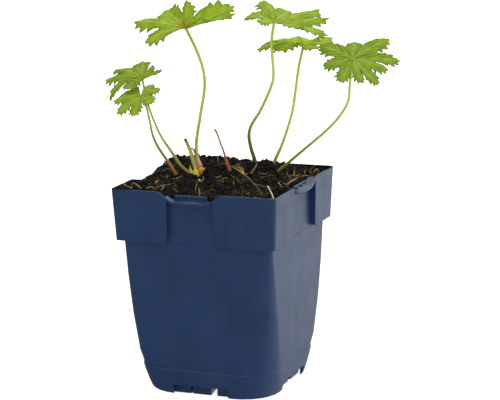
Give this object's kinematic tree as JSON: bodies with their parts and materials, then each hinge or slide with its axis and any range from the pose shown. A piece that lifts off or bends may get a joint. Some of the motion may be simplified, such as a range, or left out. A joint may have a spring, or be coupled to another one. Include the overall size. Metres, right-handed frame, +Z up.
{
  "type": "hardy geranium in a nursery pot",
  "caption": "Young hardy geranium with long-stalked, deeply cut palmate leaves, growing in peaty soil in a square tapered plastic nursery pot.",
  "frame": {"origin": "centre of the pot's base, on the surface that it stands on", "axes": "+Z up; the pot's front panel faces -Y and its right panel faces +X"},
  "size_m": [0.163, 0.1056, 0.2035],
  "materials": {
    "pot_plastic": "injection-moulded, satin",
    "peat_soil": "rough, moist, crumbly",
    "leaf": "matte, finely hairy",
    "dry_stalk": "dry, fibrous",
    "root": "matte, fibrous",
    "straw": "dry, matte"
  },
  "bodies": {
    "root": {"pot": "pot_plastic", "soil": "peat_soil", "leaf_tall_left": "leaf", "leaf_upper_left": "leaf", "leaf_lower_left": "leaf", "leaf_middle_high": "leaf", "leaf_middle_low": "leaf", "leaf_right": "leaf", "cut_stalk": "dry_stalk", "root_knot": "root", "curled_root": "root", "straw_right": "straw", "straw_left": "straw"}
  },
  "joints": []
}
